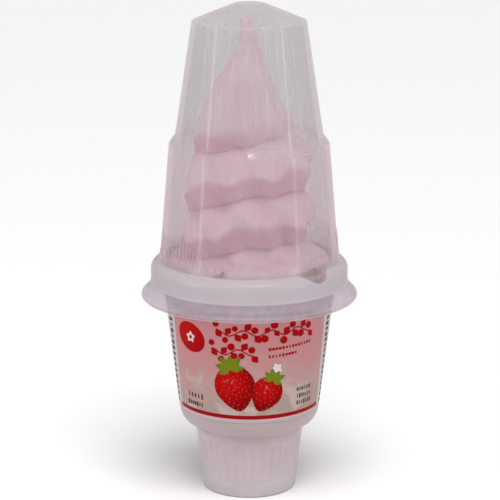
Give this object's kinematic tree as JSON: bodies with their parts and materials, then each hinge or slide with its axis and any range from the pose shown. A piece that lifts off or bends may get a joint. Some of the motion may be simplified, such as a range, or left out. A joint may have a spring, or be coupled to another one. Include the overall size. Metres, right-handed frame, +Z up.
{
  "type": "strawberry soft serve cup",
  "caption": "Piped strawberry soft serve swirl in a wafer cone, standing in a tapered plastic cup with a fluted stem, under a tall clear lid that clips over the cup's rim.",
  "frame": {"origin": "middle of the cup's flat foot, on the surface it stands on", "axes": "+Z up along the cup's axis to the top of the lid, -Y towards the front of the label, +X to the right seen from the front"},
  "size_m": [0.0798, 0.0798, 0.1818],
  "materials": {
    "cup_polypropylene": "milky moulded plastic with a printed label",
    "baked_wafer": "dry baked wafer",
    "strawberry_ice": "smooth frozen cream",
    "lid_polypropylene": "clear, slightly milky thermoformed plastic",
    "label_print": "printed film on the cup's wall"
  },
  "bodies": {
    "root": {"cup": "cup_polypropylene", "wafer_cone": "baked_wafer", "soft_serve": "strawberry_ice", "lid": "lid_polypropylene"}
  },
  "joints": []
}
